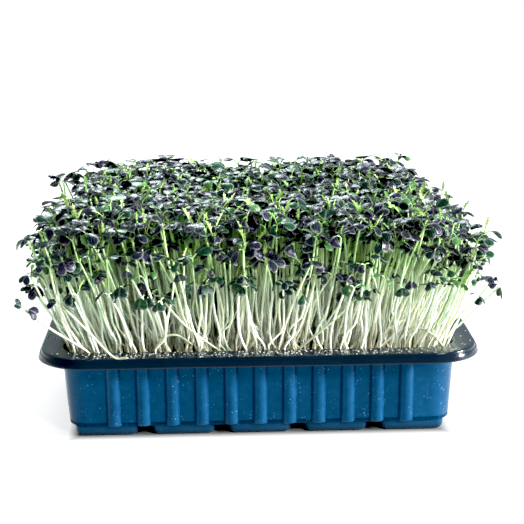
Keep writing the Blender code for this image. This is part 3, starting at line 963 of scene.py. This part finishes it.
def bent_blades(dice, base, axes, length, angle, form, grid):
    """Middle surfaces of blades that bend down along their length and dome or fold across."""
    ranges = [form[key] for key in ("bend", "dome", "fold", "ripple")] + [(0, 6.28)]
    drawn = [dice.uniform(*span, len(base)) for span in ranges]
    bend, dome, fold, ripple, phase, length, angle = (each[:, None, None] for each in (*drawn, length, angle))
    base, out, side, up = (each[:, None, None] for each in (base, *axes))
    along, across = grid[:2]
    b = across * length
    curve = np.where(np.abs(bend) < 0.05, 0.05, bend) / length
    turned = angle - curve * (along * length)
    run = (np.sin(angle) - np.sin(turned)) / curve
    rise = (np.cos(turned) - np.cos(angle)) / curve
    wave = np.sin(along * 9.0 + phase) * np.abs(across)
    lift = fold * np.abs(b) - dome * b**2 / length + ripple * wave * length
    run = run - lift * np.sin(turned)
    rise = rise + lift * np.cos(turned)
    return base + out * run[..., None] + up * rise[..., None] + side * b[..., None]


def seed_leaf_grid():
    """Places along and across a notched, heart-shaped blade, and their shares."""
    u = np.linspace(0, 1, len(SEED_LEAF_REACH))[:, None]
    v = np.linspace(-1, 1, SEED_LEAF_ACROSS + 1)[None, :]
    column = np.abs(np.arange(-(SEED_LEAF_ACROSS // 2), SEED_LEAF_ACROSS // 2 + 1))
    along = np.array(SEED_LEAF_REACH)[:, column]
    return along, np.array(SEED_LEAF_SPAN)[:, column] * np.sign(v), u + 0 * v, np.abs(v) + 0 * u


def toothed_grid(form):
    """Places along and across a toothed blade on its own stalk, and their shares."""
    steps, sideways = form["grid"]
    stalk = form["stalk"]
    u = np.linspace(0, 1, steps + 1)[:, None]
    v = np.linspace(-1, 1, sideways + 1)[None, :]
    swell = np.clip((u - stalk) / (1 - stalk), 0, 1)
    envelope = np.sin(math.pi * swell**0.75) ** 0.8
    odd = np.arange(steps + 1)[:, None] % 2 == 1
    teeth = np.where(odd, 1.0 - form["teeth"], 1.0)
    stalk_width = 0.028 * (1 - 0.6 * u)
    width = np.maximum(form["half_width"] * envelope * (1 + (teeth - 1) * v**2), stalk_width)
    width[-1] = 0.008
    lean = np.where(odd, 0.0, 0.05) * np.abs(v)
    return u + lean * (u > stalk) * (u < 0.98), width * v, u + 0 * v, np.abs(v) + 0 * u


def tints_for(per_item, chance, along, across):
    """Four numbers for each point: chance, share along, share across and one."""
    values = np.ones((len(chance), per_item, 4))
    values[:, :, 0] = chance[:, None]
    values[:, :, 1] = along
    values[:, :, 2] = across
    return values


def held_inside(points):
    """Points drawn softly into the space that the stand may fill, on both sides of zero."""
    size = np.abs(points)
    return np.sign(points) * (size - REACH_SOFTNESS * np.logaddexp(0, (size - REACH) / REACH_SOFTNESS))


# Sprouts' parts of one kind: each one's points, tints and clump, the quads of one, and the material's slot
Gathered = namedtuple("Gathered", "points tints quads clumps slot")


def clump_of(places):
    """Number of the clump whose centre is nearest, counted row by row."""
    last = np.array((COLUMNS, ROWS)) - 1
    column, row = np.clip(np.round((places[:, :2] / CLUMP_AREA + 0.5) * last), 0, last).T
    return (row * COLUMNS + column).astype(int)


def gather_tubes(dice, tube, clumps):
    """Stems or petioles, tinted by chance and by their height."""
    points, quads = tube
    height = np.clip((points[:, :, 2] - MEDIUM_TOP) / (GREEN_HEIGHT - MEDIUM_TOP), 0, 1)
    tints = tints_for(points.shape[1], dice.random(len(points)), height, 0.0)
    return Gathered(held_inside(points), tints, quads, clumps, 0)


def gather_blades(middle, grid, chance, clumps, slot):
    """Blades with these middle surfaces, tinted by chance and by the shares along and across."""
    shares = [np.concatenate([share.ravel(), share[1:-1, 1:-1].ravel()]) for share in grid[2:]]
    tints = tints_for(len(shares[0]), np.clip(chance, 0, 1), *shares)
    steps, across = (size - 1 for size in middle.shape[1:3])
    points = held_inside(blade_points(middle))
    return Gathered(points, tints, blade_template(steps, across), clumps, slot)


def grow_stems(dice, routes, clumps, low, high):
    """Stems along routes, with these radii at the foot and at the top."""
    count, rings, _ = routes.shape
    thick = dice.uniform(*STEM_UNEVEN, (count, 1))
    radii = (low + (high - low) * np.linspace(0, 1, rings)) * thick
    return gather_tubes(dice, tubes(routes, radii, (0.0, 1.0, 0.0)), clumps)


def grow_seed_leaves(dice, top, heading, tilt, kind, clumps, side):
    """One seed leaf of each sprout with its petiole."""
    count = len(top)
    turn = dice.normal(0, 0.25, count) + (math.pi if side else 0.0)
    axes = leaf_frames(heading + turn, tilt)
    length = dice.uniform(*PETIOLE_LENGTHS, count)
    start = dice.uniform(*PETIOLE_RISE, count)
    is_low = top[:, 2] < LOW_LEAF_TOP
    angle = dice.normal(0.35, 0.35, count) - 0.4 * is_low
    routes = petiole_routes(top, axes, length, start, angle)
    radii = np.full(routes.shape[:2], PETIOLE_RADIUS)
    stalks = gather_tubes(dice, tubes(routes, radii, (0.0, 0.02, 1.0)), clumps)
    length = SEED_LEAF_LENGTH * dice.uniform(*SEED_LEAF["size"], count) * np.where(is_low, LOW_LEAF_SIZE, 1.0)
    grid = seed_leaf_grid()
    middle = bent_blades(dice, routes[:, -1], axes, length, angle, SEED_LEAF, grid)
    return [stalks, gather_blades(middle, grid, kind + dice.normal(0, 0.07, count), clumps, 1)]


def grow_true_leaves(dice, base, heading, clumps, form, chance):
    """One toothed true leaf at each base. The form holds its grid, shape, size, curvature and slot."""
    count = len(base)
    tilt = dice.normal(0, form["tilt"], (count, 2))
    axes = leaf_frames(heading + dice.normal(0, 0.4, count), tilt)
    length = SPRIG_LENGTH * dice.uniform(*form["size"], count)
    angle = dice.uniform(*form["rise"], count)
    grid = toothed_grid(form)
    middle = bent_blades(dice, base, axes, length, angle, form, grid)
    return gather_blades(middle, grid, chance, clumps, form["slot"])


def clump_piece(index, parts, materials):
    """All parts of the sprouts in one clump as one piece."""
    blocks = []
    tints = []
    slots = []
    for part in parts:
        mine = part.clumps == index
        count, each, _ = part.points[mine].shape
        if not count:
            continue
        starts = np.arange(count)[:, None, None] * each
        blocks.append((part.points[mine].reshape(-1, 3), (part.quads + starts).reshape(-1, 4)))
        tints.append(part.tints[mine].reshape(-1, 4))
        slots.append(np.full(len(part.quads) * count, part.slot))
    row, column = divmod(index, COLUMNS)
    at = f"{row + 1}_{column + 1}"
    points, quads = joined(blocks)
    slots = np.concatenate(slots)
    piece = mesh_piece(f"microgreens_{at}", points, quads, materials, slots, np.concatenate(tints))
    place(piece, "purple_sprout" if (row + column) % 2 else "green_sprout", f"sprouts_{at}")


def grow_leaves(dice, top, lean, kind, clumps):
    """Two seed leaves on each sprout, young sprigs on some and curled dark leaves on others."""
    count = len(top)
    heading = dice.uniform(0, 2 * math.pi, count)
    tilt = lean * 0.6 + dice.normal(0, 0.22, (count, 2))
    parts = []
    for side in (0, 1):
        parts += grow_seed_leaves(dice, top, heading, tilt, kind, clumps, side)
    turned = heading + dice.choice([0.5, -0.5], count) * math.pi
    some = dice.random(count) < SPRIG_SHARE
    bright = dice.uniform(0.25, 1.0, some.sum())
    parts.append(grow_true_leaves(dice, top[some], turned[some], clumps[some], SPRIG, bright))
    some = (dice.random(count) < CURLED_SHARE) & (top[:, 2] > CURLED_LOWEST)
    parts.append(grow_true_leaves(dice, top[some], turned[some], clumps[some], CURLED, kind[some] * 0.5))
    return parts


def grow_fallen(dice, clumps):
    """Sprouts that lie over the rim. Those that end high carry leaves."""
    routes = fallen_routes()
    stems = grow_stems(dice, routes, clumps, FALLEN_RADIUS, FALLEN_RADIUS * 0.85)
    stems.tints[:, :, 0] = 0.0
    parts = [stems]
    leafy = routes[:, -1, 2] > FALLEN_LEAFY
    count = leafy.sum()
    heading = dice.uniform(-0.3, 0.3, count)
    tilt = np.tile(FALLEN_TILT, (count, 1))
    for side in (0, 1):
        kind = dice.uniform(0.1, 0.6, count)
        leaves = grow_seed_leaves(dice, routes[leafy, -1], heading, tilt, kind, clumps[leafy], side)
        leaves[0].tints[:, :, 0] = 0.0
        parts += leaves
    return parts


def make_sprouts():
    dice = np.random.default_rng(SEED)
    foot, top, tall = draw_stand(dice)
    clumps = clump_of(foot)
    routes = stem_routes(dice, foot, top)
    stems = grow_stems(dice, routes, clumps, STEM_RADIUS_LOW, STEM_RADIUS_HIGH)
    outer = (np.abs(top[:, 0]) > OUTER_TOP) & (top[:, 2] < OUTER_LOW)
    stems.tints[outer, :, 0] *= OUTER_DULLNESS
    parts = [stems]
    lean = unit(routes[:, -1] - routes[:, -3])[:, :2]
    green = np.clip((0.135 - top[:, 2]) / 0.03, 0, 1)
    kind = dice.random(len(foot)) ** (1.25 - 0.6 * green)
    parts += grow_leaves(dice, top, lean, kind, clumps)
    base = np.repeat(tall, len(TALL_HEADINGS))
    heading = np.tile(TALL_HEADINGS, len(tall))
    bright = dice.uniform(0.75, 1.0, len(base))
    parts.append(grow_true_leaves(dice, top[base], heading, clumps[base], TALL_SPRIG, bright))
    parts += grow_fallen(dice, clump_of(np.array(FALLEN)[:, 0]))
    seed_leaf = leaf_material("seed_leaf", SEED_LEAF_TONES, SEED_LEAF_VEIN_AND_HIGHLIGHT, 0.3, 0.55)
    sprig = leaf_material("young_true_leaf", SPRIG_TONES, SPRIG_VEIN_AND_HIGHLIGHT, 0.6, 0.35)
    materials = [stem_material(), seed_leaf, sprig]
    for index in range(ROWS * COLUMNS):
        clump_piece(index, parts, materials)


# Water drops and seed hulls


def level_rings(levels, sides):
    """Level rings of points, from (radius, z) pairs."""
    angles = 2 * math.pi * np.arange(sides) / sides
    circle = np.column_stack([np.cos(angles), np.sin(angles)])
    return np.array([np.column_stack([radius * circle, np.full(sides, z)]) for radius, z in levels])


def dome_rings(radius, height):
    """A low dome, wide end down, whose foot is sunk a little."""
    levels = [(radius * 0.98, -0.0002)]
    for angle in math.pi / 2 * np.arange(DROP_RINGS) / DROP_RINGS:
        levels.append((radius * math.cos(angle), height * math.sin(angle)))
    return level_rings(levels + [(radius * 0.06, height)], DROP_SIDES)


def make_drops():
    """Small water drops along the flange."""
    dice = np.random.default_rng(SEED + 1)
    anchors, normals, _ = perimeter()
    blocks = []
    front = np.flatnonzero(normals[:, 1] < -0.7)
    for drop in range(DROPS):
        index = int(dice.choice(front)) if drop % 2 else int(dice.integers(0, len(anchors)))
        nx, ny = normals[index]
        out = BODY_CORNER + FLANGE_WIDTH * dice.uniform(0.1, 0.86)
        slide = (dice.random() - 0.5) * RIB_PITCH * np.array((-ny, nx))
        centre = (*(anchors[index] + slide + normals[index] * out), RIM_HEIGHT)
        radius = dice.uniform(*DROP_RADII)
        points, quads = closed(dome_rings(radius, radius * dice.uniform(*DROP_FLATNESS)))
        points[:, 0] *= dice.uniform(*DROP_STRETCH)
        blocks.append((points + centre, quads))
    place(mesh_piece("water_drops", *joined(blocks), [droplet_material()]), "blue_plastic")


def make_hulls():
    """Empty seed hulls on the medium between the stems."""
    dice = np.random.default_rng(SEED + 2)
    blocks = []
    for _ in range(HULLS):
        x = dice.uniform(-FEET_X, FEET_X)
        y = dice.uniform(-FEET_Y, FEET_Y)
        if dice.random() < HULL_FRONT_SHARE:
            y = -FEET_Y - dice.uniform(-0.004, 0.002)
        size = dice.uniform(*HULL_RADII)
        levels = [(size * math.cos(level), size * math.sin(level)) for level in np.radians(HULL_LEVELS)]
        points, quads = closed(level_rings(levels, HULL_SIDES))
        points[:, 0] *= HULL_STRETCH
        turn = Matrix.Rotation(dice.uniform(0, 6.28), 3, "Z") @ Matrix.Rotation(dice.uniform(0, 3.1), 3, "X")
        blocks.append((points @ np.array(turn).T + (x, y, MEDIUM_TOP + size * 0.6), quads))
    place(mesh_piece("seed_hulls", *joined(blocks), [hull_material()]), "moist_medium")


# Studio


def make_floor():
    mesh = bpy.data.meshes.new("floor")
    corners = [(x * FLOOR_HALF, y * FLOOR_HALF, 0) for x, y in ((-1, -1), (1, -1), (1, 1), (-1, 1))]
    mesh.from_pydata(corners, [], [(0, 1, 2, 3)])
    mesh.materials.append(floor_material())
    hang("floor", mesh)


def area_light(name, spot, size, energy, colour):
    light = bpy.data.lights.new(name, "AREA")
    light.shape = "DISK"
    light.size = size
    light.energy = energy
    light.color = colour
    lamp = hang(name, light)
    lamp.location = spot
    aim = Vector(LIGHT_TARGET) - Vector(spot)
    lamp.rotation_euler = aim.to_track_quat("-Z", "Y").to_euler()


def make_lights():
    """A sky that is white to the camera and lights from the back, and three lamps."""
    world = bpy.data.worlds.new("studio")
    world.use_nodes = True
    bpy.context.scene.world = world
    sky = Nodes(world.node_tree)
    x, y, _ = sky.xyz(sky.add("TexCoord").outputs["Generated"])
    depth = sky.scaled(y, -0.5, 0.8, 0.03, 0.64)
    hue = sky.ramp(sky.scaled(x, -1.0, 1.0, 0.0, 1.0), SKY_TONES)
    seen = sky.add("LightPath").outputs["Is Camera Ray"]
    background = sky.tree.nodes["Background"]
    sky.feed(sky.mix(seen, hue, WHITE), background.inputs["Color"])
    sky.feed(sky.math("MAXIMUM", depth, seen), background.inputs["Strength"])
    for name, values in LIGHTS.items():
        area_light(name, *values)


def make_camera():
    """The photographed view: slightly from above and a little from the left."""
    yaw, pitch, roll = np.radians(CAMERA_DEGREES).tolist()
    level = Vector((math.sin(yaw), math.cos(yaw), 0))
    across = Vector((math.cos(yaw), -math.sin(yaw), 0))
    forward = level * math.cos(pitch) - Vector((0, 0, math.sin(pitch)))
    upward = Vector((0, 0, math.cos(pitch))) + level * math.sin(pitch)
    right = across * math.cos(roll) + upward * math.sin(roll)
    upward = upward * math.cos(roll) - across * math.sin(roll)
    camera = bpy.data.cameras.new("camera")
    camera.sensor_width = SENSOR
    camera.lens = SENSOR * FOCAL_SHARE
    camera.clip_end = 20.0
    holder = hang("camera", camera)
    turned = Matrix((right, upward, -forward)).transposed().to_4x4()
    holder.matrix_world = Matrix.Translation(CAMERA_PLACE) @ turned
    bpy.context.scene.camera = holder


def set_colour():
    view = bpy.context.scene.view_settings
    view.view_transform = "Standard"
    view.exposure = 0.0
    view.gamma = 1.0
    view.use_curve_mapping = True
    view.curve_mapping.black_level = (0.015, 0.015, 0.015)
    view.curve_mapping.update()


make_camera()
make_floor()
make_lights()
set_colour()
make_tray()
make_medium()
make_sprouts()
make_drops()
make_hulls()
